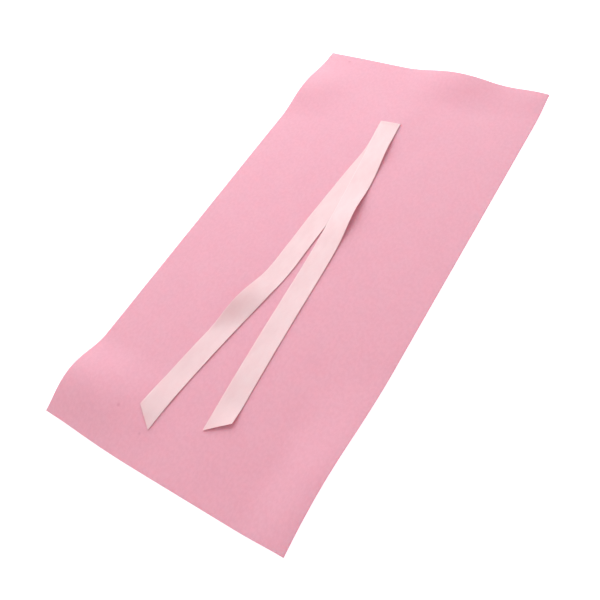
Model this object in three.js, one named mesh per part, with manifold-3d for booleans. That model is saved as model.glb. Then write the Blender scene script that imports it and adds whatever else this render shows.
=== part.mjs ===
// A tie-on gown panel: one sheet of soft pink cloth lying on a table, with one satin ribbon folded in half and
// tacked down near the top edge, so that its two halves are the ties. Millimetres, +Z up, top edge towards +Y.

import * as THREE from 'three';
import { mergeVertices } from 'three/addons/utils/BufferGeometryUtils.js';
import Module from 'manifold-3d';

// ---- Driving dimensions ----

// The cloth, as cut flat.
const CLOTH_WIDTH = 300;
const CLOTH_LENGTH = 600;
const CLOTH_THICKNESS = 1.2;
const CLOTH_FACET = 12.5;
// The left foot corner of the soft sheet is drawn in a little, fading out over this width and length.
const CORNER_DRAWN_IN = 3;
const CORNER_FADE = { width: 200, length: 90 };

// The ribbon, and the length of each half from the crease to its longest point.
const RIBBON_WIDTH = 25;
const RIBBON_THICKNESS = 0.4;
const RIBBON_FACET = 7;
const UPPER_TAIL_LENGTH = 437;
const LOWER_TAIL_LENGTH = 463;
const TAIL_CUT_SLANT = 16;

// Where the crease lies on the cloth.
const CREASE_FROM_TOP_EDGE = 102;
const CREASE_LEFT_OF_MIDDLE = 8;
const CREASE_TURN = 5;

// Where each half bends up, measured along the ribbon: the upper one just past the tack, the lower one where it
// comes clear of the upper one, and each again this far on.
const UPPER_TAIL_HINGE = 9;
const UPPER_TIP_FROM_HINGE = 256;
const LOWER_TIP_FROM_HINGE = 160;
const TAIL_CLEARANCE = 2.5;
const HINGE_GAP = 0.4;

// How the layers are stacked: air under the ribbon, and air between its two layers.
const LAY_GAP = 0.5;
const FOLD_GAP = 0.5;

// The hand-run tack through both layers and the cloth.
const THREAD_DIAMETER = 0.4;
const THREAD_CLEARANCE = 0.3;
const THREAD_CORNER = 0.4;
const TACK_FROM_CREASE = 4;
const STITCH_PITCH = 2.8;
const STITCH_HOLES = 8;
const THREAD_END = 3;

// ---- Swells in the cloth ----
// The sheet lies flat but for a few low swells along its edges. Each is a smooth ridge whose crest is at corner
// (-1 left or bottom, 1 right or top) and inset, how far in from that corner's two edges. turn is the ridge's
// bearing in degrees, across and along are its two half sizes, and rise is its height.
const SWELLS = [
  { name: 'foot roll', corner: [-1, -1], inset: [0, 45], turn: 0, across: 60, along: 150, rise: 14 },
  { name: 'right edge near the foot', corner: [1, -1], inset: [0, 60], turn: 90, across: 60, along: 140, rise: 11 },
  { name: 'left edge near the top', corner: [-1, 1], inset: [0, 75], turn: 0, across: 60, along: 80, rise: 7 },
  { name: 'top edge', corner: [1, 1], inset: [110, 0], turn: 90, across: 80, along: 60, rise: 10 },
  { name: 'top right corner', corner: [1, 1], inset: [15, 0], turn: 0, across: 50, along: 60, rise: 5 },
];
// The stitches hold the cloth a little clear of the table.
const TACK_LIFT = { across: 50, along: 70, rise: 1.8 };

// ---- How each half of the ribbon lies ----
// headings: [distance from the crease, degrees to the right of straight down the cloth]. buckles: where the ribbon
// rises off the cloth, as the distance from the crease, the half length, and the rise of its left and right edges.
const UPPER_LAY = {
  length: UPPER_TAIL_LENGTH,
  headings: [[0, CREASE_TURN], [40, 8], [150, 6], [250, 2.5], [UPPER_TAIL_LENGTH, 4.5]],
  buckles: [
    { at: 50, half: 40, left: 0, right: 3 },
    { at: 150, half: 50, left: 0, right: 6 },
    { at: UPPER_TAIL_LENGTH, half: 40, left: 0, right: 4 },
  ],
};
const LOWER_LAY = {
  length: LOWER_TAIL_LENGTH,
  headings: [
    [0, CREASE_TURN], [30, 4], [70, -5], [150, -3.5], [220, -2], [275, -10], [350, -9], [LOWER_TAIL_LENGTH, -4],
  ],
  buckles: [
    { at: 300, half: 50, left: 6, right: 0 },
  ],
};
// How far the upper half takes to come down to the cloth once it is past the lower one.
const SETTLE_LENGTH = 60;

// ---- Materials ----

const materials = {
  cloth: new THREE.MeshStandardMaterial({ color: '#efaabb', roughness: 0.95, metalness: 0 }),
  satin: new THREE.MeshStandardMaterial({ color: '#fbdde1', roughness: 0.45, metalness: 0 }),
  thread: new THREE.MeshStandardMaterial({ color: '#f9d3d9', roughness: 0.7, metalness: 0 }),
};

// ---- Small helpers ----

const radians = (degrees) => degrees * Math.PI / 180;

// A smooth hump: 1 at the middle, 0 from one half size outwards.
function bell(q) {
  return Math.abs(q) < 1 ? Math.cos(q * Math.PI / 2) ** 2 : 0;
}

function smoothstep(q) {
  const t = Math.min(1, Math.max(0, q));
  return t * t * (3 - 2 * t);
}

// The value of a list of [position, value] pairs at a position, eased from pair to pair.
function along(pairs, position) {
  for (let i = 1; i < pairs.length; i += 1) {
    const [p0, a] = pairs[i - 1];
    const [p1, b] = pairs[i];
    if (position <= p1) {
      return a + (b - a) * smoothstep((position - p0) / (p1 - p0));
    }
  }
  return pairs[pairs.length - 1][1];
}

// A closed slab of countA by countB cells. place(i, j, side) gives each grid point of its lower face (side 0)
// and its upper face (side 1).
function slab(countA, countB, place) {
  const geometry = new THREE.BoxGeometry(1, 1, 1, countA, countB, 1);
  geometry.deleteAttribute('normal');
  geometry.deleteAttribute('uv');
  const corner = geometry.attributes.position;
  for (let k = 0; k < corner.count; k += 1) {
    const i = Math.round((corner.getX(k) + 0.5) * countA);
    const j = Math.round((corner.getY(k) + 0.5) * countB);
    const side = corner.getZ(k) > 0 ? 1 : 0;
    const point = place(i, j, side);
    corner.setXYZ(k, point.x, point.y, point.z);
  }
  return mergeVertices(geometry, 1e-4);
}

// ---- The cloth's surface ----

const halfWidth = CLOTH_WIDTH / 2;
const halfLength = CLOTH_LENGTH / 2;
const creasePlace = { u: -CREASE_LEFT_OF_MIDDLE, v: halfLength - CREASE_FROM_TOP_EDGE };

function swellHeight(du, dv, swell) {
  const turn = radians(swell.turn);
  const lengthwise = du * Math.cos(turn) + dv * Math.sin(turn);
  const sideways = dv * Math.cos(turn) - du * Math.sin(turn);
  return swell.rise * bell(sideways / swell.across) * bell(lengthwise / swell.along);
}

// The height of the cloth's underside over the table, u across the cloth and v along it.
function clothHeight(u, v) {
  let height = swellHeight(u - creasePlace.u, v - creasePlace.v, { ...TACK_LIFT, turn: 90 });
  for (const swell of SWELLS) {
    const centreU = swell.corner[0] * (halfWidth - swell.inset[0]);
    const centreV = swell.corner[1] * (halfLength - swell.inset[1]);
    height += swellHeight(u - centreU, v - centreV, swell);
  }
  return Math.max(0, height);
}

const cellsAcross = 2 * Math.round(CLOTH_WIDTH / CLOTH_FACET / 2);
const cellsAlong = 2 * Math.round(CLOTH_LENGTH / CLOTH_FACET / 2);
const cellWidth = CLOTH_WIDTH / cellsAcross;
const cellLength = CLOTH_LENGTH / cellsAlong;

// Cloth doesn't stretch: over a slope it covers less ground. Each row and column is walked out from the middle.
function walk(slope, size, count) {
  const reach = [0];
  for (let k = 1; k <= count; k += 1) {
    const middle = (slope(k - 1) + slope(k)) / 2;
    reach.push(reach[k - 1] + size * Math.sqrt(Math.max(0.1, 1 - middle * middle)));
  }
  return reach.map((value) => value - reach[count / 2]);
}

// How far towards the middle the left foot corner's pull moves a place on the cloth.
function drawnIn(u, v) {
  return CORNER_DRAWN_IN * bell((u + halfWidth) / CORNER_FADE.width) * bell((v + halfLength) / CORNER_FADE.length);
}

function layCloth() {
  const step = 0.5;
  const uAt = (i) => i * cellWidth - halfWidth;
  const vAt = (j) => j * cellLength - halfLength;
  const slopeU = (i, j) => (clothHeight(uAt(i) + step, vAt(j)) - clothHeight(uAt(i) - step, vAt(j))) / (2 * step);
  const slopeV = (i, j) => (clothHeight(uAt(i), vAt(j) + step) - clothHeight(uAt(i), vAt(j) - step)) / (2 * step);
  const columns = [];
  const rows = [];
  for (let j = 0; j <= cellsAlong; j += 1) {
    rows.push(walk((i) => slopeU(i, j), cellWidth, cellsAcross));
  }
  for (let i = 0; i <= cellsAcross; i += 1) {
    const reach = walk((j) => slopeV(i, j), cellLength, cellsAlong);
    columns.push(reach.map((y, j) => ({
      point: new THREE.Vector3(rows[j][i] + drawnIn(uAt(i), vAt(j)), y, clothHeight(uAt(i), vAt(j))),
      normal: new THREE.Vector3(-slopeU(i, j), -slopeV(i, j), 1).normalize(),
    })));
  }
  return columns;
}

const clothGrid = layCloth();

// A point a given height over the cloth's underside, between the grid's points where need be.
function overUnderside(u, v, height) {
  const a = (u + halfWidth) / cellWidth;
  const b = (v + halfLength) / cellLength;
  const i = Math.min(cellsAcross - 1, Math.max(0, Math.floor(a)));
  const j = Math.min(cellsAlong - 1, Math.max(0, Math.floor(b)));
  const lift = ({ point, normal }) => point.clone().addScaledVector(normal, height);
  const near = lift(clothGrid[i][j]).lerp(lift(clothGrid[i + 1][j]), a - i);
  const far = lift(clothGrid[i][j + 1]).lerp(lift(clothGrid[i + 1][j + 1]), a - i);
  return near.lerp(far, b - j);
}

// ---- The ribbon's path ----

// The centreline of one half in cloth coordinates, a point every millimetre from the crease.
function layHalf(lay) {
  const stations = [{ u: creasePlace.u, v: creasePlace.v, heading: radians(CREASE_TURN) }];
  for (let s = 1; s <= Math.ceil(lay.length); s += 1) {
    const heading = radians(along(lay.headings, s));
    const last = stations[s - 1];
    stations.push({ u: last.u + Math.sin(heading), v: last.v - Math.cos(heading), heading });
  }
  return stations;
}

const layerStep = RIBBON_THICKNESS + FOLD_GAP;
const upperHalf = { ...UPPER_LAY, stations: layHalf(UPPER_LAY), base: LAY_GAP + layerStep, settles: true };
const lowerHalf = { ...LOWER_LAY, stations: layHalf(LOWER_LAY), base: LAY_GAP, settles: false };

// The distance from the crease where the two halves lie side by side, clear of each other.
const parting = upperHalf.stations.findIndex((upper, s) => {
  const lower = lowerHalf.stations[Math.min(s, lowerHalf.stations.length - 1)];
  return Math.hypot(upper.u - lower.u, upper.v - lower.v) > RIBBON_WIDTH + TAIL_CLEARANCE;
});
const upperTipHinge = UPPER_TAIL_HINGE + UPPER_TIP_FROM_HINGE;
const lowerTailHinge = parting;
const lowerTipHinge = lowerTailHinge + LOWER_TIP_FROM_HINGE;

// How far the ribbon is off its resting height, s along it and w to the right of its centreline.
function liftAt(half, s, w) {
  const across = w / RIBBON_WIDTH + 0.5;
  let lift = half.settles ? -layerStep * smoothstep((s - parting) / SETTLE_LENGTH) : 0;
  for (const { at, half: reach, left, right } of half.buckles) {
    lift += (left + (right - left) * across) * bell((s - at) / reach);
  }
  return lift;
}

// A point of one half: s along it from the crease, w to the right of its centreline, and height over the
// cloth's upper face where the ribbon isn't lifted.
function onHalf(half, s, w, height) {
  const k = Math.min(half.stations.length - 2, Math.max(0, Math.floor(s)));
  const a = half.stations[k];
  const b = half.stations[k + 1];
  const t = s - k;
  const heading = a.heading + (b.heading - a.heading) * t;
  const u = a.u + (b.u - a.u) * t + w * Math.cos(heading);
  const v = a.v + (b.v - a.v) * t + w * Math.sin(heading);
  return overUnderside(u, v, CLOTH_THICKNESS + liftAt(half, s, w) + height);
}

// One length of a half, from one place to another, with its end cut square or on the slant.
function ribbonLength(half, from, to, slant = 0) {
  const rows = Math.max(2, Math.round((to - from) / RIBBON_FACET));
  const across = 2;
  return slab(across, rows, (i, j, side) => {
    const w = (i / across - 0.5) * RIBBON_WIDTH;
    const end = to - Math.abs(slant) * (0.5 + Math.sign(slant) * w / RIBBON_WIDTH);
    const s = from + (end - from) * j / rows;
    return onHalf(half, s, w, half.base + (side === 0 ? RIBBON_THICKNESS : 0));
  });
}

// The part that stays on the cloth: the run of the lower half, the turn over the crease, and the start of the
// upper half, in one piece.
function foldedRibbon() {
  const inside = FOLD_GAP / 2;
  const outside = inside + RIBBON_THICKNESS;
  const middle = LAY_GAP + outside;
  const stations = [];
  const runEnd = lowerTailHinge - HINGE_GAP / 2;
  const runRows = Math.round((runEnd - outside) / RIBBON_FACET);
  for (let k = 0; k <= runRows; k += 1) {
    const s = runEnd + (outside - runEnd) * k / runRows;
    stations.push((w, side) => onHalf(lowerHalf, s, w, lowerHalf.base + side * RIBBON_THICKNESS));
  }
  const turnRows = 8;
  for (let k = 1; k < turnRows; k += 1) {
    const angle = Math.PI * (k / turnRows - 0.5);
    stations.push((w, side) => {
      const radius = side === 1 ? inside : outside;
      return onHalf(upperHalf, outside - radius * Math.cos(angle), w, middle + radius * Math.sin(angle));
    });
  }
  const lapRows = 3;
  const lapEnd = UPPER_TAIL_HINGE - HINGE_GAP / 2;
  for (let k = 0; k <= lapRows; k += 1) {
    const s = outside + (lapEnd - outside) * k / lapRows;
    stations.push((w, side) => onHalf(upperHalf, s, w, upperHalf.base + (1 - side) * RIBBON_THICKNESS));
  }
  const across = 2;
  return slab(across, stations.length - 1, (i, j, side) => stations[j]((i / across - 0.5) * RIBBON_WIDTH, side));
}

// ---- The tack ----

const holePlaces = [];
for (let k = 0; k < STITCH_HOLES; k += 1) {
  holePlaces.push((k - (STITCH_HOLES - 1) / 2) * STITCH_PITCH);
}
const threadRadius = THREAD_DIAMETER / 2;
const threadOver = upperHalf.base + RIBBON_THICKNESS + THREAD_CLEARANCE + threadRadius;
const threadUnder = -CLOTH_THICKNESS - THREAD_CLEARANCE - threadRadius;
const onTack = (w, height) => onHalf(upperHalf, TACK_FROM_CREASE, w, height);

// The running stitch: up through one hole, along the top, down through the next, along underneath.
function threadPath() {
  const corners = [[holePlaces[0] - THREAD_END, threadUnder]];
  holePlaces.forEach((w, k) => {
    const rising = k % 2 === 0;
    corners.push([w, rising ? threadUnder : threadOver]);
    corners.push([w, rising ? threadOver : threadUnder]);
  });
  corners.push([holePlaces[holePlaces.length - 1] + THREAD_END, threadUnder]);
  const points = corners.map(([w, height]) => onTack(w, height));
  const path = new THREE.CurvePath();
  let from = points[0];
  for (let k = 1; k < points.length - 1; k += 1) {
    const back = points[k - 1].clone().sub(points[k]).setLength(THREAD_CORNER).add(points[k]);
    const ahead = points[k + 1].clone().sub(points[k]).setLength(THREAD_CORNER).add(points[k]);
    path.add(new THREE.LineCurve3(from, back));
    path.add(new THREE.QuadraticBezierCurve3(back, points[k], ahead));
    from = ahead;
  }
  path.add(new THREE.LineCurve3(from, points[points.length - 1]));
  return path;
}

function tackThread() {
  const path = threadPath();
  const section = new THREE.Shape();
  const sides = 6;
  for (let k = 0; k < sides; k += 1) {
    const angle = 2 * Math.PI * k / sides;
    const x = threadRadius * Math.cos(angle);
    const y = threadRadius * Math.sin(angle);
    if (k === 0) {
      section.moveTo(x, y);
    } else {
      section.lineTo(x, y);
    }
  }
  section.closePath();
  const steps = Math.round(path.getLength() / (THREAD_CORNER * 0.8));
  const geometry = new THREE.ExtrudeGeometry(section, { steps, extrudePath: path, bevelEnabled: false });
  geometry.deleteAttribute('normal');
  geometry.deleteAttribute('uv');
  return mergeVertices(geometry, 1e-4);
}

const wasm = await Module();
wasm.setup();

function toSolid(geometry) {
  return new wasm.Manifold(new wasm.Mesh({
    numProp: 3,
    vertProperties: new Float32Array(geometry.attributes.position.array),
    triVerts: new Uint32Array(geometry.index.array),
  }));
}

function toGeometry(solid) {
  const mesh = solid.getMesh();
  const geometry = new THREE.BufferGeometry();
  geometry.setAttribute('position', new THREE.BufferAttribute(new Float32Array(mesh.vertProperties), 3));
  geometry.setIndex(new THREE.BufferAttribute(new Uint32Array(mesh.triVerts), 1));
  return geometry;
}

// Needle holes on the tack line, each with room for the thread all round.
function withNeedleHoles(geometry) {
  const radius = threadRadius + THREAD_CLEARANCE;
  let solid = toSolid(geometry);
  for (const w of holePlaces) {
    const top = onTack(w, threadOver);
    const bottom = onTack(w, threadUnder);
    const drill = new THREE.CylinderGeometry(radius, radius, top.distanceTo(bottom) * 2, 8);
    drill.deleteAttribute('normal');
    drill.deleteAttribute('uv');
    drill.applyQuaternion(new THREE.Quaternion().setFromUnitVectors(
      new THREE.Vector3(0, 1, 0),
      top.clone().sub(bottom).normalize(),
    ));
    const middle = top.clone().lerp(bottom, 0.5);
    drill.translate(middle.x, middle.y, middle.z);
    solid = solid.subtract(toSolid(mergeVertices(drill, 1e-4)));
  }
  return toGeometry(solid);
}

// ---- The assembly ----

function clothSheet() {
  return slab(cellsAcross, cellsAlong, (i, j, side) => {
    const { point, normal } = clothGrid[i][j];
    return point.clone().addScaledVector(normal, side * CLOTH_THICKNESS);
  });
}

const gap = HINGE_GAP / 2;
const pieces = [
  ['gown_panel', withNeedleHoles(clothSheet()), materials.cloth],
  ['ribbon_fold', withNeedleHoles(foldedRibbon()), materials.satin],
  ['upper_tail', ribbonLength(upperHalf, UPPER_TAIL_HINGE + gap, upperTipHinge - gap), materials.satin],
  ['upper_tip', ribbonLength(upperHalf, upperTipHinge + gap, UPPER_TAIL_LENGTH, TAIL_CUT_SLANT), materials.satin],
  ['lower_tail', ribbonLength(lowerHalf, lowerTailHinge + gap, lowerTipHinge - gap), materials.satin],
  ['lower_tip', ribbonLength(lowerHalf, lowerTipHinge + gap, LOWER_TAIL_LENGTH, -TAIL_CUT_SLANT), materials.satin],
  ['tack_thread', tackThread(), materials.thread],
];

const group = new THREE.Group();
for (const [name, geometry, material] of pieces) {
  const mesh = new THREE.Mesh(geometry, material);
  mesh.name = name;
  group.add(mesh);
}

// The origin is under the middle of the whole, on the table.
const box = new THREE.Box3().setFromObject(group);
group.position.set(-(box.min.x + box.max.x) / 2, -(box.min.y + box.max.y) / 2, -box.min.z);

export default group;
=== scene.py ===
import math

import bmesh
import bpy
import numpy as np
from mathutils import Matrix, Vector


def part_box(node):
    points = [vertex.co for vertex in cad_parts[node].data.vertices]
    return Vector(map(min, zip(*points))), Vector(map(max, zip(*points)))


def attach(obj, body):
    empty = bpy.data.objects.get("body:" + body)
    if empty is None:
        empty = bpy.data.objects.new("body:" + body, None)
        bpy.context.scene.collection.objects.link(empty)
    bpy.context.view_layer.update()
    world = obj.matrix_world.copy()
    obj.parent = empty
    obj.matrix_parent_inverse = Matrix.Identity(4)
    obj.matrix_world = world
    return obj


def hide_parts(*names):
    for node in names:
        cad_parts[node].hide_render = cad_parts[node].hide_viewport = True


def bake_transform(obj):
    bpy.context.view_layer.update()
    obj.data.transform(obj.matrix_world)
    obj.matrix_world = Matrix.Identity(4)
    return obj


# A tie-on gown panel: a soft pink cloth sheet lying on a table, with a satin ribbon folded in half and stitched
# down near its top edge. Lengths here are millimetres until a point is placed, which turns it into metres.
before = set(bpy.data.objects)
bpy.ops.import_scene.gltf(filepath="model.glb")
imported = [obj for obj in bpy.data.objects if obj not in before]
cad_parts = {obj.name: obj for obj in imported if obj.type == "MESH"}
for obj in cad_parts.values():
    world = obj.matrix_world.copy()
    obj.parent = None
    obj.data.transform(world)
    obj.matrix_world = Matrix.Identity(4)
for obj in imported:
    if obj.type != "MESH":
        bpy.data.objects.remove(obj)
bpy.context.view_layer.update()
MM = 0.001

# ---- The cloth and the ribbon, as cut ----

CLOTH_WIDTH, CLOTH_LENGTH, CLOTH_THICKNESS = 300, 600, 1.2
CLOTH_EDGE_ROUNDING = 0.35
CLOTH_CELL = 2.5
CORNER_DRAWN_IN = 3
CORNER_FADE = (200, 90)

RIBBON_WIDTH, RIBBON_THICKNESS = 25, 0.4
RIBBON_EDGE_ROUNDING = 0.13
RIBBON_ROW = 2
RIBBON_COLUMNS = 18
UPPER_LENGTH, LOWER_LENGTH = 437, 463
TAIL_CUT_SLANT = 16

CREASE = (-8, CLOTH_LENGTH / 2 - 102)
CREASE_TURN = 5
LAY_GAP = FOLD_GAP = 0.5
SETTLE_LENGTH = 60
TAIL_CLEARANCE = 2.5

# Where the ribbon's halves are hinged, and how long each bend is.
UPPER_HINGE = 9
UPPER_TIP_FROM_HINGE = 256
LOWER_TIP_FROM_HINGE = 160
BEND_LENGTH = 30

# The low swells along the cloth's edges: the corner that each is measured from, how far in from that corner's
# two edges its crest is, its bearing in degrees, its half sizes across and along, and its rise.
SWELLS = [
    ((-1, -1), (0, 45), 0, 60, 150, 14),
    ((1, -1), (0, 60), 90, 60, 140, 11),
    ((-1, 1), (0, 75), 0, 60, 80, 7),
    ((1, 1), (110, 0), 90, 80, 60, 10),
    ((1, 1), (15, 0), 0, 50, 60, 5),
]
TACK_LIFT = (90, 50, 70, 1.8)

# The cloth's faint unevenness: wave length, bearing, phase, and size.
CLOTH_WAVES = [(97, 25, 0.4, 0.14), (61, 110, 2.1, 0.10), (43, 64, 4.0, 0.06), (150, 150, 1.2, 0.18)]

# How each half lies: headings in degrees down its length, then its buckles as place, half length, left rise
# and right rise.
UPPER_HEADINGS = [(0, CREASE_TURN), (40, 8), (150, 6), (250, 2.5), (UPPER_LENGTH, 4.5)]
UPPER_BUCKLES = [(50, 40, 0, 3), (150, 50, 0, 6), (UPPER_LENGTH, 40, 0, 4)]
LOWER_HEADINGS = [
    (0, CREASE_TURN), (30, 4), (70, -5), (150, -3.5), (220, -2), (275, -10), (350, -9), (LOWER_LENGTH, -4),
]
LOWER_BUCKLES = [(300, 50, 6, 0)]

# The satin's own soft ripples: wave length along, how much it turns from one edge to the other, phase and size.
# They start this far from the crease, grow over this length, and are smaller over the lower half.
RIBBON_RIPPLES = [(71, 1.3, 0.6, 0.22), (47, -0.9, 2.4, 0.14), (29, 0.7, 4.4, 0.06)]
RIBBON_CUP = 0.3
RIPPLE_START, RIPPLE_GROWTH = 20, 60
STACKED_SHARE = 0.35

# Where one made length of ribbon meets the next, from the crease. The last such place is set with the halves.
TACK_SEAM = 2
FOLD_SEAM = 110
UPPER_SEAM = 137
CREASE_ROWS = 14

SHARP_EDGE = math.radians(50)
TABLE_GLOW = 0.6
ROOM_LIGHT = 0.57


def bell(q):
    return np.where(np.abs(q) < 1, np.cos(np.clip(q, -1, 1) * math.pi / 2) ** 2, 0.0)


def smoothstep(q):
    t = min(1.0, max(0.0, q))
    return t * t * (3 - 2 * t)


def along(pairs, position):
    for (p0, a), (p1, b) in zip(pairs, pairs[1:]):
        if position <= p1:
            return a + (b - a) * smoothstep((position - p0) / (p1 - p0))
    return pairs[-1][1]


# ---- How the cloth lies ----

def swell_height(du, dv, turn, across, lengthwise, rise):
    turn = math.radians(turn)
    forward = du * math.cos(turn) + dv * math.sin(turn)
    sideways = dv * math.cos(turn) - du * math.sin(turn)
    return rise * bell(sideways / across) * bell(forward / lengthwise)


def cloth_height(u, v):
    """The height of the cloth's underside, u across the cloth and v along it."""
    height = swell_height(u - CREASE[0], v - CREASE[1], *TACK_LIFT)
    for corner, inset, *shape in SWELLS:
        centre_u = corner[0] * (CLOTH_WIDTH / 2 - inset[0])
        centre_v = corner[1] * (CLOTH_LENGTH / 2 - inset[1])
        height = height + swell_height(u - centre_u, v - centre_v, *shape)
    for length, bearing, phase, size in CLOTH_WAVES:
        bearing = math.radians(bearing)
        reach = u * math.cos(bearing) + v * math.sin(bearing)
        height = height + size * (1 + np.sin(reach * 2 * math.pi / length + phase)) / 2
    return np.maximum(0, height)


class ClothLay:
    """Where each place on the cloth is. Over a slope it covers less ground, because it doesn't stretch."""

    def __init__(self):
        self.columns = round(CLOTH_WIDTH / CLOTH_CELL)
        self.rows = round(CLOTH_LENGTH / CLOTH_CELL)
        u = np.linspace(-CLOTH_WIDTH / 2, CLOTH_WIDTH / 2, self.columns + 1)
        v = np.linspace(-CLOTH_LENGTH / 2, CLOTH_LENGTH / 2, self.rows + 1)
        u, v = np.meshgrid(u, v, indexing="ij")
        step = 0.5
        slope_u = (cloth_height(u + step, v) - cloth_height(u - step, v)) / (2 * step)
        slope_v = (cloth_height(u, v + step) - cloth_height(u, v - step)) / (2 * step)
        x = self.walked(slope_u, 0) + self.drawn_in(u, v)
        y = self.walked(slope_v, 1)
        self.place = np.stack([x, y, cloth_height(u, v)], axis=-1)
        normal = np.stack([-slope_u, -slope_v, np.ones_like(u)], axis=-1)
        self.normal = normal / np.linalg.norm(normal, axis=-1, keepdims=True)

    def walked(self, slope, axis):
        middle = (np.delete(slope, 0, axis) + np.delete(slope, -1, axis)) / 2
        reach = np.cumsum(CLOTH_CELL * np.sqrt(np.maximum(0.1, 1 - middle ** 2)), axis)
        start = np.zeros_like(np.take(reach, [0], axis))
        reach = np.concatenate([start, reach], axis)
        return reach - np.take(reach, [reach.shape[axis] // 2], axis)

    def drawn_in(self, u, v):
        fade_u = bell((u + CLOTH_WIDTH / 2) / CORNER_FADE[0])
        return CORNER_DRAWN_IN * fade_u * bell((v + CLOTH_LENGTH / 2) / CORNER_FADE[1])

    def over(self, u, v, height):
        """The point a given height over the cloth's underside."""
        a = (u + CLOTH_WIDTH / 2) / CLOTH_CELL
        b = (v + CLOTH_LENGTH / 2) / CLOTH_CELL
        i = min(self.columns - 1, max(0, math.floor(a)))
        j = min(self.rows - 1, max(0, math.floor(b)))
        lifted = self.place[i:i + 2, j:j + 2] + self.normal[i:i + 2, j:j + 2] * height
        near = lifted[0, 0] * (1 - a + i) + lifted[1, 0] * (a - i)
        far = lifted[0, 1] * (1 - a + i) + lifted[1, 1] * (a - i)
        return near * (1 - b + j) + far * (b - j)


cloth = ClothLay()

# The frame's own panel says where the cloth's middle is.
panel_low, panel_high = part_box("gown_panel")
rim_low = cloth.place.reshape(-1, 3).min(axis=0) * MM
rim_high = cloth.place.reshape(-1, 3).max(axis=0) * MM
SHIFT = Vector([(a + b - c - d) / 2 for a, b, c, d in zip(panel_low, panel_high, rim_low, rim_high)])
SHIFT.z = 0


def placed(point):
    return Vector([float(value) for value in point]) * MM + SHIFT


# ---- How the ribbon lies on it ----

class Half:
    """One half of the ribbon, from the crease to its end."""

    def __init__(self, length, headings, buckles, base, settles):
        self.length, self.buckles, self.base, self.settles = length, buckles, base, settles
        self.stations = [(CREASE[0], CREASE[1], math.radians(CREASE_TURN))]
        for s in range(1, length + 2):
            heading = math.radians(along(headings, s))
            u, v, _ = self.stations[-1]
            self.stations.append((u + math.sin(heading), v - math.cos(heading), heading))

    def lift(self, s, w):
        across = w / RIBBON_WIDTH + 0.5
        lift = -LAYER_STEP * smoothstep((s - PARTING) / SETTLE_LENGTH) if self.settles else 0
        for at, reach, left, right in self.buckles:
            lift += (left + (right - left) * across) * float(bell((s - at) / reach))
        return lift + self.ripple(s, w)

    def ripple(self, s, w):
        """Ripples grow once the ribbon is clear of the tack, and only ever lift it."""
        size = RIBBON_CUP * (2 * w / RIBBON_WIDTH) ** 2
        for length, twist, phase, height in RIBBON_RIPPLES:
            turn = s * 2 * math.pi / length + twist * 2 * w / RIBBON_WIDTH + phase
            size += height * (1 + math.sin(turn)) / 2
        clear_of_lower = smoothstep((s - PARTING) / SETTLE_LENGTH) if self.settles else 1
        share = STACKED_SHARE + (1 - STACKED_SHARE) * clear_of_lower
        return size * smoothstep((s - RIPPLE_START) / RIPPLE_GROWTH) * share

    def at(self, s, w, height):
        """The point s along from the crease, w to the right, and height over the cloth's upper face."""
        k = min(len(self.stations) - 2, max(0, math.floor(s)))
        u0, v0, heading0 = self.stations[k]
        u1, v1, heading1 = self.stations[k + 1]
        t = s - k
        heading = heading0 + (heading1 - heading0) * t
        u = u0 + (u1 - u0) * t + w * math.cos(heading)
        v = v0 + (v1 - v0) * t + w * math.sin(heading)
        return cloth.over(u, v, CLOTH_THICKNESS + self.lift(s, w) + height)


LAYER_STEP = RIBBON_THICKNESS + FOLD_GAP
upper = Half(UPPER_LENGTH, UPPER_HEADINGS, UPPER_BUCKLES, LAY_GAP + LAYER_STEP, settles=True)
lower = Half(LOWER_LENGTH, LOWER_HEADINGS, LOWER_BUCKLES, LAY_GAP, settles=False)


def parted(s):
    return math.dist(upper.stations[s][:2], lower.stations[s][:2]) > RIBBON_WIDTH + TAIL_CLEARANCE


# The distance from the crease where the halves lie side by side, which is where the lower one is hinged.
PARTING = next(s for s in range(UPPER_LENGTH) if parted(s))
UPPER_TIP_HINGE = UPPER_HINGE + UPPER_TIP_FROM_HINGE
LOWER_TIP_HINGE = PARTING + LOWER_TIP_FROM_HINGE
LOWER_SEAM = PARTING + LOWER_TIP_FROM_HINGE // 2


# ---- Shader graphs ----

class Value:
    """A socket that adds Math nodes when it is used in an expression."""

    def __init__(self, graph, socket):
        self.graph, self.socket = graph, socket

    def math(self, operation, *others):
        inputs = {k: other for k, other in enumerate([self, *others])}
        return self.graph.node("ShaderNodeMath", {"operation": operation}, inputs)[0]

    def __add__(self, other):
        return self.math("ADD", other)

    def __rsub__(self, other):
        return (self * -1) + other

    def __mul__(self, other):
        return self.math("MULTIPLY", other)

    def __gt__(self, other):
        return self.math("GREATER_THAN", other)

    __radd__ = __add__
    __rmul__ = __mul__


# The outputs of Texture Coordinate that are used: the map of the flat cut, and the piece's own space.
CUT_MAP, OWN_SPACE = 2, 3


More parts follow.
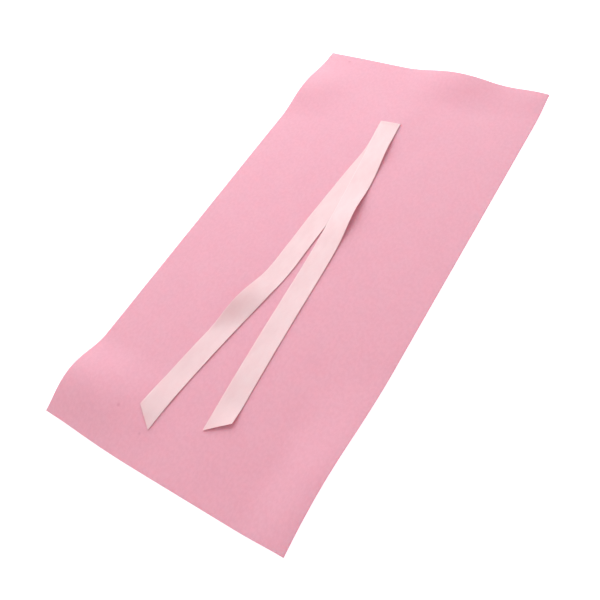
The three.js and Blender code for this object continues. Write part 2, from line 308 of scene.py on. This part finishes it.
class Graph:
    """One material, and the one way that nodes are added to it."""

    def __init__(self, name, **shader):
        self.material = bpy.data.materials.new(name)
        self.material.use_nodes = True
        self.tree = self.material.node_tree
        self.shader = self.tree.nodes["Principled BSDF"]
        for socket, value in shader.items():
            self.shader.inputs[socket.replace("_", " ")].default_value = value

    def node(self, kind, settings, inputs):
        node = self.tree.nodes.new(kind)
        for name, value in settings.items():
            setattr(node, name, value)
        for key, value in inputs.items():
            if isinstance(value, Value):
                self.tree.links.new(value.socket, node.inputs[key])
            else:
                node.inputs[key].default_value = value
        return [Value(self, socket) for socket in node.outputs]

    def feed(self, socket, value):
        self.tree.links.new(value.socket, self.shader.inputs[socket])

    def surface(self, source=CUT_MAP):
        """Places on the piece in millimetres, on its flat cut or in its own space."""
        coordinates = self.node("ShaderNodeTexCoord", {}, {})[source]
        scale = {0: coordinates, 3: 1 / MM}
        return self.node("ShaderNodeVectorMath", {"operation": "SCALE"}, scale)[0]

    def stretched(self, place, x, y):
        return self.node("ShaderNodeVectorMath", {"operation": "MULTIPLY"}, {0: place, 1: (x, y, 1)})[0]

    def noise(self, place, size, detail=2.0, roughness=0.5):
        inputs = {"Vector": place, "Scale": 1 / size, "Detail": detail, "Roughness": roughness}
        return self.node("ShaderNodeTexNoise", {}, inputs)[0]

    def mixed(self, factor, first, second):
        settings = {"data_type": "RGBA"}
        return self.node("ShaderNodeMix", settings, {0: factor, 6: first, 7: second})[2]

    def ramp(self, value, low, high):
        inputs = {"Value": value, "From Min": low, "From Max": high}
        return self.node("ShaderNodeMapRange", {"interpolation_type": "SMOOTHSTEP"}, inputs)[0]

    def bumped(self, height, distance, strength=1.0):
        inputs = {"Height": height, "Distance": distance * MM, "Strength": strength}
        self.feed("Normal", self.node("ShaderNodeBump", {}, inputs)[0])


PINK = (0.825, 0.46, 0.557, 1)
PINK_DEEP = (0.79, 0.425, 0.522, 1)
PINK_SPECK = (0.62, 0.26, 0.35, 1)
SATIN = (0.925, 0.595, 0.615, 1)
SATIN_SHADE = (0.885, 0.535, 0.56, 1)
SATIN_SELVEDGE = (0.96, 0.68, 0.70, 1)
THREAD = (0.955, 0.665, 0.70, 1)


def soft_pink_cloth():
    graph = Graph(
        "soft_pink_cloth", Roughness=0.92, Sheen_Weight=0.25, Sheen_Roughness=0.6, Subsurface_Weight=0.5,
    )
    graph.shader.inputs["Subsurface Radius"].default_value = (1.0, 0.3, 0.36)
    graph.shader.inputs["Subsurface Scale"].default_value = 2.4 * MM
    graph.shader.inputs["Specular IOR Level"].default_value = 0.15
    graph.shader.inputs["Sheen Tint"].default_value = (1, 0.8, 0.86, 1)
    place = graph.surface()
    cloudy = graph.noise(place, 26, 4, 0.55)
    felted = graph.noise(graph.stretched(place, 1, 0.7), 3.2, 4, 0.7)
    fibres = graph.noise(graph.stretched(place, 1, 0.35), 0.35, 4, 0.6)
    dye = graph.ramp(cloudy * 0.2 + felted * 0.8, 0.38, 0.62)
    colour = graph.mixed(dye, PINK_DEEP, PINK)
    # A few soft specks of darker lint.
    cells = graph.node("ShaderNodeTexVoronoi", {}, {"Vector": place, "Scale": 1 / 38, "Randomness": 1.0})
    near = 1 - graph.ramp(cells[0], 0.02, 0.07)
    chosen = graph.node("ShaderNodeSeparateColor", {}, {0: cells[1]})[0] > 0.78
    colour = graph.mixed(near * chosen * 0.4, colour, PINK_SPECK)
    graph.feed("Base Color", colour)
    graph.feed("Roughness", felted * 0.1 + 0.87)
    graph.bumped(felted * 0.65 + fibres * 0.35, 0.35, 0.5)
    return graph.material


def pale_satin():
    graph = Graph("pale_satin", Roughness=0.42, Sheen_Weight=0.15, Sheen_Roughness=0.4, Subsurface_Weight=0.3)
    graph.shader.inputs["Subsurface Radius"].default_value = (1.0, 0.4, 0.45)
    graph.shader.inputs["Subsurface Scale"].default_value = 1.2 * MM
    graph.shader.inputs["Specular IOR Level"].default_value = 1.0
    place = graph.surface()
    parts = graph.node("ShaderNodeSeparateXYZ", {}, {0: place})
    across, lengthwise = parts[0], parts[1]
    # Long floats of yarn run down the ribbon, tied down at a fine even pitch.
    floats = graph.noise(graph.stretched(place, 1, 0.03), 0.22, 3, 0.6)
    patches = graph.noise(graph.stretched(place, 1, 0.5), 11, 3, 0.5)
    picks = (lengthwise * (2 * math.pi / 0.45)).math("SINE")
    ends = (across * (2 * math.pi / 0.3)).math("SINE")
    selvedge = across.math("ABSOLUTE") > RIBBON_WIDTH / 2 - 0.7
    shade = graph.ramp(patches * 0.65 + floats * 0.35, 0.3, 0.7)
    colour = graph.mixed(shade, SATIN_SHADE, SATIN)
    graph.feed("Base Color", graph.mixed(selvedge * 0.7, colour, SATIN_SELVEDGE))
    graph.feed("Roughness", floats * 0.1 + patches * 0.08 + selvedge * 0.12 + 0.22)
    graph.bumped(floats * 0.5 + picks * 0.12 + ends * 0.08 + selvedge * 0.3, 0.08, 0.6)
    return graph.material


def spun_thread():
    graph = Graph("spun_thread", Roughness=0.6, Sheen_Weight=0.2)
    graph.shader.inputs["Specular IOR Level"].default_value = 0.3
    fuzz = graph.noise(graph.surface(OWN_SPACE), 0.12, 3)
    graph.feed("Base Color", graph.mixed(fuzz, THREAD, SATIN))
    graph.bumped(fuzz, 0.03)
    return graph.material


def plain_table():
    graph = Graph("plain_table", Base_Color=(0.92, 0.92, 0.92, 1), Roughness=0.8, Emission_Strength=TABLE_GLOW)
    graph.shader.inputs["Emission Color"].default_value = (1, 1, 1, 1)
    return graph.material


# ---- Sheets of cloth and lengths of ribbon ----

def finish_piece(name, bm, material):
    mesh = bpy.data.meshes.new(name)
    bm.to_mesh(mesh)
    bm.free()
    mesh.polygons.foreach_set("use_smooth", [True] * len(mesh.polygons))
    mesh.set_sharp_from_angle(angle=SHARP_EDGE)
    mesh.materials.append(material)
    piece = bpy.data.objects.new(name, mesh)
    bpy.context.scene.collection.objects.link(piece)
    return piece


def soft_slab(columns, rows, place, mapped, rounded, rounding):
    """A thin sheet from a flat grid. place(i, j, side) puts its under and upper faces, mapped(i, j) gives each
    place's millimetres on the flat cut, and rounded(i, j) picks the rim points whose edges are rounded over."""
    bm = bmesh.new()
    bmesh.ops.create_grid(bm, x_segments=columns, y_segments=rows, size=0.5)
    cell = bm.verts.layers.int.new("cell")
    top = bm.verts.layers.int.new("top")
    for vert in bm.verts:
        vert[cell] = round((vert.co.x + 0.5) * columns) * (rows + 1) + round((vert.co.y + 0.5) * rows)
    lifted = bmesh.ops.extrude_face_region(bm, geom=bm.faces[:])["geom"]
    for item in lifted:
        if isinstance(item, bmesh.types.BMVert):
            item[top] = 1
    uv = bm.loops.layers.uv.new("cut")
    for vert in bm.verts:
        i, j = divmod(vert[cell], rows + 1)
        vert.co = placed(place(i, j, vert[top]))
        flat = Vector(mapped(i, j)) * MM
        for loop in vert.link_loops:
            loop[uv].uv = flat
    bm.normal_update()
    bmesh.ops.recalc_face_normals(bm, faces=bm.faces[:])
    rim = [
        edge for edge in bm.edges
        if edge.verts[0][top] == edge.verts[1][top]
        and all(rounded(*divmod(vert[cell], rows + 1)) for vert in edge.verts)
        and edge.calc_face_angle(0) > 1
    ]
    bmesh.ops.bevel(
        bm, geom=rim, offset=rounding * MM, segments=2, profile=0.5, affect="EDGES", material=-1,
        clamp_overlap=True,
    )
    return bm


def cloth_panel(material):
    columns, rows = cloth.columns, cloth.rows

    def place(i, j, side):
        return cloth.place[i, j] + cloth.normal[i, j] * CLOTH_THICKNESS * side

    def mapped(i, j):
        return (i * CLOTH_CELL, j * CLOTH_CELL)

    def rounded(i, j):
        return i in (0, columns) or j in (0, rows)

    bm = soft_slab(columns, rows, place, mapped, rounded, CLOTH_EDGE_ROUNDING)
    panel = finish_piece("cloth_panel", bm, material)
    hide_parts("gown_panel")
    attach(panel, "panel")
    return panel


def ribbon_strip(name, stations, material):
    """A length of ribbon through stations, each a function of w and side and the distance down the ribbon."""
    rows = len(stations) - 1

    def place(i, j, side):
        return stations[j][0]((i / RIBBON_COLUMNS - 0.5) * RIBBON_WIDTH, side)

    def mapped(i, j):
        w = (i / RIBBON_COLUMNS - 0.5) * RIBBON_WIDTH
        return (w, stations[j][1])

    def rounded(i, j):
        return i in (0, RIBBON_COLUMNS)

    bm = soft_slab(RIBBON_COLUMNS, rows, place, mapped, rounded, RIBBON_EDGE_ROUNDING)
    return finish_piece(name, bm, material)


def run_of(half, start, end, slant=0):
    """Stations down one half, its end cut square or on the slant."""
    rows = max(2, round((end - start) / RIBBON_ROW))

    def station(k):
        def place(w, side):
            cut = end - abs(slant) * (0.5 + math.copysign(1, slant) * w / RIBBON_WIDTH) if slant else end
            return half.at(start + (cut - start) * k / rows, w, half.base + side * RIBBON_THICKNESS)
        return place, start + (end - start) * k / rows

    return [station(k) for k in range(rows, -1, -1)]


def ribbon_length(name, half, start, end, hinge, node, material, slant=0):
    """A length of one half from start to end. The points where it would bend past its hinge are found but not
    used.
    """
    piece = ribbon_strip(name, run_of(half, start, end, slant), material)
    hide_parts(node)
    bend_start = placed(half.at(hinge, 0, half.base))
    bend_end = placed(half.at(hinge + BEND_LENGTH, 0, half.base))
    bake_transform(piece)
    return piece


def folded_end(material):
    """The lower half's run under the upper one, the turn over the crease, and the first of the upper half."""
    inside = FOLD_GAP / 2
    outside = inside + RIBBON_THICKNESS
    middle = LAY_GAP + outside
    stations = run_of(lower, outside, FOLD_SEAM)
    stations = [(place, -distance) for place, distance in stations]
    for k in range(1, CREASE_ROWS):
        angle = math.pi * (k / CREASE_ROWS - 0.5)

        def turned(w, side, angle=angle):
            radius = inside if side else outside
            return upper.at(outside - radius * math.cos(angle), w, middle + radius * math.sin(angle))

        stations.append((turned, 0))
    for s in (outside, TACK_SEAM):
        stations.append((
            lambda w, side, s=s: upper.at(s, w, upper.base + (1 - side) * RIBBON_THICKNESS),
            s,
        ))
    fold = ribbon_strip("ribbon_folded_end", stations, material)
    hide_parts("ribbon_fold")
    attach(fold, "panel")
    return fold


# ---- The hand-run tack ----

THREAD_PLY = 0.11
PLY_OFFSET = 0.085
PLY_TWIST = 1.1
THREAD_HUG = 0.05
TACK_FROM_CREASE = 4
STITCH_PITCH = 2.8
STITCH_HOLES = 8
THREAD_END = 3


def thread_route():
    """The running stitch's corners: up through one hole, along, and down through the next."""
    over = upper.base + RIBBON_THICKNESS + THREAD_HUG + 2 * THREAD_PLY
    under = -CLOTH_THICKNESS / 2
    holes = [(k - (STITCH_HOLES - 1) / 2) * STITCH_PITCH for k in range(STITCH_HOLES)]
    corners = [(holes[0] - THREAD_END / 2, under)]
    for k, w in enumerate(holes):
        heights = (under, over) if k % 2 == 0 else (over, under)
        corners += [(w, heights[0]), (w, heights[1])]
    corners.append((holes[-1] + THREAD_END / 2, under))
    return [Vector(upper.at(TACK_FROM_CREASE, w, height)) for w, height in corners]


def rounded_route(corners, step=0.12, corner=0.5):
    """Points at an even step down the route, eased round its corners."""
    points = []
    for a, b in zip(corners, corners[1:]):
        count = max(2, round((b - a).length / step))
        points += [a.lerp(b, k / count) for k in range(count)]
    points.append(corners[-1])
    for _ in range(round(corner / step)):
        middle = [(p + q + r) / 3 for p, q, r in zip(points, points[1:], points[2:])]
        points = [points[0], *middle, points[-1]]
    return points


def fine_curve(name, runs, radius, material):
    """Round thin strands, each a run of points in millimetres."""
    data = bpy.data.curves.new(name, "CURVE")
    data.dimensions = "3D"
    data.bevel_depth = radius * MM
    data.bevel_resolution = 1
    data.use_fill_caps = True
    for run in runs:
        spline = data.splines.new("POLY")
        spline.points.add(len(run) - 1)
        for point, (place, size) in zip(spline.points, run):
            point.co = (*placed(place), 1)
            point.radius = size
    data.materials.append(material)
    piece = bpy.data.objects.new(name, data)
    bpy.context.scene.collection.objects.link(piece)
    return piece


def tack_thread(material):
    route = rounded_route(thread_route())
    plies = []
    for side in (0, math.pi):
        ply = []
        travelled = 0
        for k, point in enumerate(route):
            ahead = (route[min(k + 1, len(route) - 1)] - route[max(k - 1, 0)]).normalized()
            across = ahead.cross(Vector((0, 1, 0.01))).normalized()
            turn = Matrix.Rotation(travelled * 2 * math.pi / PLY_TWIST + side, 3, ahead)
            ply.append((point + turn @ across * PLY_OFFSET, 1))
            travelled += (route[min(k + 1, len(route) - 1)] - point).length
        plies.append(ply)
    thread = fine_curve("tack_stitches", plies, THREAD_PLY, material)
    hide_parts("tack_thread")
    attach(thread, "panel")
    return thread


# ---- Frayed yarn at the two cut ends ----

FRAY_RADIUS = 0.05
FRAY_STRANDS = 16
FRAY_LONGEST = 2.2


def cut_fray(name, half, slant, body, material):
    """Short yarn ends that stand out of the slanted cut, of uneven lengths."""
    runs = []
    for k in range(FRAY_STRANDS):
        share = (k + 0.5) / FRAY_STRANDS
        w = (share - 0.5) * (RIBBON_WIDTH - 1)
        cut = half.length - abs(slant) * (0.5 + math.copysign(1, slant) * w / RIBBON_WIDTH)
        swing = math.sin(k * 2.4)
        reach = FRAY_LONGEST * (0.25 + 0.75 * abs(math.sin(k * 1.7 + 0.5)) ** 3)
        height = half.base + RIBBON_THICKNESS / 2
        runs.append([
            (half.at(cut - 0.6, w, height), 1),
            (half.at(cut + reach * 0.4, w + swing * 0.15, height), 0.8),
            (half.at(cut + reach, w + swing * 0.6, height - 0.1), 0.3),
        ])
    fray = fine_curve(name, runs, FRAY_RADIUS, material)
    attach(fray, body)
    return fray


# ---- The assembly ----

cloth_material = soft_pink_cloth()
satin = pale_satin()
thread_material = spun_thread()

panel = cloth_panel(cloth_material)
fold = folded_end(satin)
upper_part = ribbon_length(
    "ribbon_upper_half", upper, TACK_SEAM, UPPER_SEAM, UPPER_HINGE, "upper_tail", satin,
)
upper_end = ribbon_length(
    "ribbon_upper_end", upper, UPPER_SEAM, UPPER_LENGTH, UPPER_TIP_HINGE,
    "upper_tip", satin, TAIL_CUT_SLANT,
)
lower_part = ribbon_length(
    "ribbon_lower_half", lower, FOLD_SEAM, LOWER_SEAM, PARTING, "lower_tail", satin,
)
lower_end = ribbon_length(
    "ribbon_lower_end", lower, LOWER_SEAM, LOWER_LENGTH, LOWER_TIP_HINGE,
    "lower_tip", satin, -TAIL_CUT_SLANT,
)
stitches = tack_thread(thread_material)
upper_fray = cut_fray("ribbon_upper_fray", upper, TAIL_CUT_SLANT, "upper_tie_end", satin)
lower_fray = cut_fray("ribbon_lower_fray", lower, -TAIL_CUT_SLANT, "lower_tie_end", satin)

ribbon_lengths = [
    (fold, FOLD_SEAM + TACK_SEAM, "folded", [stitches]),
    (upper_part, UPPER_SEAM - TACK_SEAM, "laid", []),
    (upper_end, UPPER_LENGTH - UPPER_SEAM, "laid", [upper_fray]),
    (lower_part, LOWER_SEAM - FOLD_SEAM, "laid", []),
    (lower_end, LOWER_LENGTH - LOWER_SEAM, "laid", [lower_fray]),
]
for piece, length, held, extras in ribbon_lengths:
    length * MM

# ---- Table, light and camera ----

TABLE_SIZE = 8
TABLE_DROP = 0.0004

bm = bmesh.new()
bmesh.ops.create_grid(bm, x_segments=1, y_segments=1, size=TABLE_SIZE / 2)
bmesh.ops.translate(bm, verts=bm.verts[:], vec=(0, 0, -TABLE_DROP))
table_mesh = bpy.data.meshes.new("table")
bm.to_mesh(table_mesh)
bm.free()
table_mesh.materials.append(plain_table())
table = bpy.data.objects.new("table", table_mesh)
bpy.context.scene.collection.objects.link(table)


def soft_light(name, place, aim, size, power):
    data = bpy.data.lights.new(name, "AREA")
    data.shape = "DISK"
    data.size = size
    data.energy = power
    light = bpy.data.objects.new(name, data)
    light.location = place
    light.rotation_euler = (Vector(aim) - Vector(place)).to_track_quat("-Z", "Y").to_euler()
    bpy.context.scene.collection.objects.link(light)


soft_light("window_light", (-0.74, 0.62, 0.88), (0, 0, 0), 1.7, 15)

world = bpy.data.worlds.new("room")
world.use_nodes = True
world.node_tree.nodes["Background"].inputs["Color"].default_value = (1, 1, 1, 1)
world.node_tree.nodes["Background"].inputs["Strength"].default_value = ROOM_LIGHT
bpy.context.scene.world = world
bpy.context.scene.view_settings.view_transform = "Standard"

CAMERA_PLACE = Vector((0.3316, -0.3547, 0.5748))
CAMERA_AIM = Vector((0.0232, -0.0702, 0.0))
CAMERA_ROLL = 19.25
CAMERA_LENS = 40.8

camera_data = bpy.data.cameras.new("camera")
camera_data.lens = CAMERA_LENS
camera_data.clip_start = 0.01
camera = bpy.data.objects.new("camera", camera_data)
facing = (CAMERA_AIM - CAMERA_PLACE).to_track_quat("-Z", "Y").to_matrix()
camera.matrix_world = (
    Matrix.Translation(CAMERA_PLACE) @ facing.to_4x4() @ Matrix.Rotation(math.radians(-CAMERA_ROLL), 4, "Z")
)
bpy.context.scene.collection.objects.link(camera)
bpy.context.scene.camera = camera
